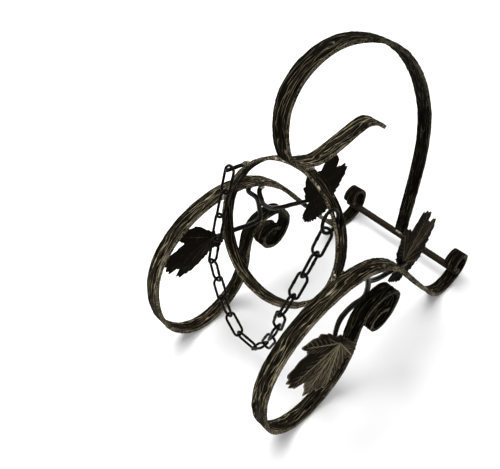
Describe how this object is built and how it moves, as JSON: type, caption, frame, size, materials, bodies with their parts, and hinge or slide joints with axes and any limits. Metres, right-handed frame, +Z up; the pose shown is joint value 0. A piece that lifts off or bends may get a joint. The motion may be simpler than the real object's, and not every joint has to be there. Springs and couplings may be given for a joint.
{
  "type": "wine bottle holder",
  "caption": "Forged-iron wine bottle holder: scrolled side bars carry a leaning hoop, a loop handle, vine leaves and a slack chain.",
  "frame": {"origin": "on the table under the middle of the holder's footprint", "axes": "+Z up, +X towards the end where the bottle's base lies, +Y towards the side with the chain's peg; the hoop's mouth and the bottle's neck face -X"},
  "size_m": [0.2474, 0.144, 0.252],
  "materials": {
    "forged_bar": "hand-forged flat bar, bark-like hammered grooves, waxed black with rubbed ridges",
    "dark_rod": "smooth waxed black-brown round bar",
    "stem_wire": "smooth waxed black round wire",
    "leaf_iron": "chiselled sheet leaf, veined, waxed olive-brown",
    "chain_wire": "smooth blackened wire"
  },
  "bodies": {
    "holder": {"near_side_scroll_bar": "forged_bar", "far_side_scroll_bar": "forged_bar", "hoop": "forged_bar", "handle": "forged_bar", "rear_cross_rod": "dark_rod", "near_front_leaf_stem": "stem_wire", "near_front_leaf": "leaf_iron", "near_rear_leaf_stem": "stem_wire", "near_rear_leaf": "leaf_iron", "far_front_leaf_stem": "stem_wire", "far_front_leaf": "leaf_iron", "far_rear_leaf_stem": "stem_wire", "far_rear_leaf": "leaf_iron", "chain_peg": "chain_wire"},
    "ring": {"jump_ring": "chain_wire"},
    "chain_legs": {"near_leg_link_1": "chain_wire", "near_leg_link_2": "chain_wire", "near_leg_link_3": "chain_wire", "near_leg_link_4": "chain_wire", "far_leg_link_1": "chain_wire", "far_leg_link_2": "chain_wire", "far_leg_link_3": "chain_wire", "far_leg_link_4": "chain_wire"},
    "chain_sling": {"sling_link_1": "chain_wire", "sling_link_2": "chain_wire", "sling_link_3": "chain_wire", "sling_link_4": "chain_wire", "sling_link_5": "chain_wire", "sling_link_6": "chain_wire", "sling_link_7": "chain_wire", "sling_link_8": "chain_wire", "sling_link_9": "chain_wire"}
  },
  "joints": [
    {"name": "ring_turn", "type": "hinge", "parent": "holder", "child": "ring", "pos_m": [-0.04589, -0.03654, 0.16404], "axis": [0.0653, -0.9833, 0.1701], "continuous": true},
    {"name": "chain_swing", "type": "hinge", "parent": "holder", "child": "chain_legs", "pos_m": [-0.04957, 0.00463, 0.15972], "axis": [-0.0481, 0.9988, 0], "range_deg": [0, 100]},
    {"name": "sling_swing", "type": "hinge", "parent": "chain_legs", "child": "chain_sling", "pos_m": [-0.0784, 0.00324, 0.09551], "axis": [-0.0481, 0.9988, 0], "range_deg": [0, 60]}
  ]
}
